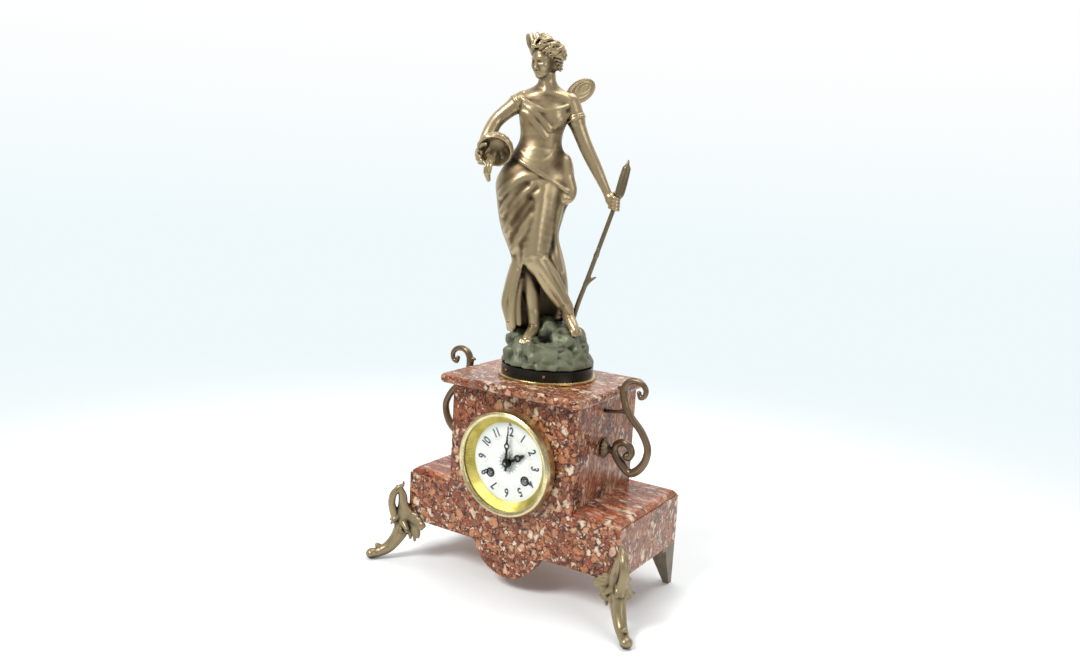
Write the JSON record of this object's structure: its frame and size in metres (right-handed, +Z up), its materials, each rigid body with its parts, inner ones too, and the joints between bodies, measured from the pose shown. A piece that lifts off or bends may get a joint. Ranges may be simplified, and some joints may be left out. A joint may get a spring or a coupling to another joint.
{
  "type": "figural mantel clock",
  "caption": "Marble mantel clock with scroll feet, side handles, a glazed round dial and a standing cast figure that pours from a bowl and holds a cattail.",
  "frame": {"origin": "on the floor, at the centre of the box round the whole clock", "axes": "+X to the right as the dial is read, +Y from the dial to the back, +Z up"},
  "size_m": [0.3354, 0.1712, 0.5791],
  "materials": {
    "marble": "polished red breccia marble",
    "antique_brass": "antique olive-gold patina",
    "plain_iron": "plain grey-brown casting",
    "brown_bronze": "dark brown patina",
    "bronze": "khaki-gold patina with dark hollows",
    "verdigris": "grey-green patina",
    "dark_lacquer": "glossy black-green",
    "gilt": "bright yellow gilding",
    "glass": "clear",
    "enamel": "white enamel with blue-grey numerals",
    "black_steel": "satin black",
    "movement_brass": "satin",
    "steel": "satin",
    "bell_metal": "polished"
  },
  "bodies": {
    "case": {"front_panel": "marble", "left_tower_panel": "marble", "right_tower_panel": "marble", "left_plinth_panel": "marble", "right_plinth_panel": "marble", "left_shoulder": "marble", "right_shoulder": "marble", "tower_back_panel": "marble", "plinth_back_panel": "marble", "case_floor": "marble", "top_slab": "marble", "front_left_foot": "antique_brass", "front_right_foot": "antique_brass", "back_left_foot": "plain_iron", "back_right_foot": "plain_iron", "left_handle": "brown_bronze", "right_handle": "brown_bronze", "figure_body": "bronze", "bowl": "bronze", "right_arm": "bronze", "left_arm": "bronze", "wings": "bronze", "cattail": "bronze", "rock": "verdigris", "socle": "dark_lacquer", "base_ring": "gilt", "bezel_seat": "gilt", "sight_ring": "gilt", "back_ring": "gilt", "dial": "enamel", "front_plate": "movement_brass", "back_plate": "movement_brass", "back_cock": "movement_brass", "hinge_pins": "steel", "fixing_nuts": "steel", "figure_bolt": "steel", "bell": "bell_metal"},
    "bezel_door": {"bezel": "gilt", "glass": "glass"},
    "back_door": {"back_door": "gilt"},
    "minute": {"cannon_pinion": "movement_brass", "minute_hand": "black_steel"},
    "minute_wheel": {"minute_wheel": "movement_brass"},
    "hour": {"hour_wheel": "movement_brass", "hour_hand": "black_steel"},
    "escape": {"escape_wheel": "movement_brass"},
    "third": {"third_wheel": "movement_brass"},
    "centre": {"centre_wheel": "movement_brass", "hand_nut": "movement_brass"},
    "intermediate": {"intermediate_wheel": "movement_brass"},
    "going_barrel": {"going_barrel": "movement_brass"},
    "going_winder": {"going_arbor": "steel"},
    "strike_winder": {"strike_arbor": "steel"},
    "strike_barrel": {"strike_barrel": "movement_brass"},
    "strike_wheel": {"strike_wheel": "movement_brass"},
    "pallets": {"pallets": "steel"},
    "pendulum": {"pendulum_rod": "steel", "pendulum_bob": "movement_brass"},
    "hammer": {"hammer": "steel"},
    "regulator": {"regulator": "steel"}
  },
  "joints": [
    {"name": "bezel_hinge", "type": "hinge", "parent": "case", "child": "bezel_door", "pos_m": [-0.0583, -0.05369, 0.1425], "axis": [0, 0, -1], "range_deg": [0, 105]},
    {"name": "back_door_hinge", "type": "hinge", "parent": "case", "child": "back_door", "pos_m": [0.0498, 0.07726, 0.155], "axis": [0, 0, -1], "range_deg": [0, 110]},
    {"name": "minute_spin", "type": "hinge", "parent": "case", "child": "minute", "pos_m": [0, -0.05039, 0.1425], "axis": [0, 1, 0], "continuous": true},
    {"name": "minute_wheel_spin", "type": "hinge", "parent": "case", "child": "minute_wheel", "pos_m": [0.01039, -0.05039, 0.1485], "axis": [0, 1, 0], "continuous": true},
    {"name": "hour_spin", "type": "hinge", "parent": "case", "child": "hour", "pos_m": [0, -0.05039, 0.1425], "axis": [0, 1, 0], "continuous": true},
    {"name": "escape_spin", "type": "hinge", "parent": "case", "child": "escape", "pos_m": [0, -0.02539, 0.1646], "axis": [0, 1, 0], "continuous": true},
    {"name": "third_spin", "type": "hinge", "parent": "case", "child": "third", "pos_m": [0.00976, -0.02539, 0.15451], "axis": [0, 1, 0], "continuous": true},
    {"name": "centre_spin", "type": "hinge", "parent": "case", "child": "centre", "pos_m": [0, -0.02539, 0.1425], "axis": [0, 1, 0], "continuous": true},
    {"name": "intermediate_spin", "type": "hinge", "parent": "case", "child": "intermediate", "pos_m": [0.0041, -0.02539, 0.12683], "axis": [0, 1, 0], "continuous": true},
    {"name": "going_barrel_spin", "type": "hinge", "parent": "case", "child": "going_barrel", "pos_m": [0.0215, -0.03039, 0.127], "axis": [0, 1, 0], "continuous": true},
    {"name": "going_winding", "type": "hinge", "parent": "case", "child": "going_winder", "pos_m": [0.0215, -0.04639, 0.127], "axis": [0, 1, 0], "continuous": true},
    {"name": "strike_winding", "type": "hinge", "parent": "case", "child": "strike_winder", "pos_m": [-0.0215, -0.04639, 0.127], "axis": [0, 1, 0], "continuous": true},
    {"name": "strike_barrel_spin", "type": "hinge", "parent": "case", "child": "strike_barrel", "pos_m": [-0.0215, -0.03039, 0.127], "axis": [0, 1, 0], "continuous": true},
    {"name": "strike_wheel_spin", "type": "hinge", "parent": "case", "child": "strike_wheel", "pos_m": [-0.02745, -0.02539, 0.14335], "axis": [0, 1, 0], "continuous": true},
    {"name": "pendulum_swing", "type": "hinge", "parent": "case", "child": "pendulum", "pos_m": [0, 0.00461, 0.1785], "axis": [0, 1, 0], "range_deg": [-3, 3]},
    {"name": "pallet_rock", "type": "hinge", "parent": "case", "child": "pallets", "pos_m": [0, -0.02539, 0.1785], "axis": [0, 1, 0], "range_deg": [-3, 3]},
    {"name": "hammer_lift", "type": "hinge", "parent": "case", "child": "hammer", "pos_m": [-0.011, -0.02539, 0.157], "axis": [0, 1, 0], "range_deg": [0, 12]},
    {"name": "regulator_turn", "type": "hinge", "parent": "case", "child": "regulator", "pos_m": [0, -0.03039, 0.1828], "axis": [0, 1, 0], "range_deg": [-360, 360]}
  ],
  "couplings": [
    {"joint": "minute_wheel_spin", "follows": "minute_spin", "ratio": -0.33333},
    {"joint": "hour_spin", "follows": "minute_spin", "ratio": 0.083333},
    {"joint": "third_spin", "follows": "escape_spin", "ratio": -0.083333},
    {"joint": "centre_spin", "follows": "escape_spin", "ratio": 0.0069444},
    {"joint": "intermediate_spin", "follows": "escape_spin", "ratio": -0.00086806},
    {"joint": "going_barrel_spin", "follows": "escape_spin", "ratio": 0.00018084},
    {"joint": "strike_wheel_spin", "follows": "strike_barrel_spin", "ratio": -4.8},
    {"joint": "pallet_rock", "follows": "pendulum_swing", "ratio": 1}
  ]
}
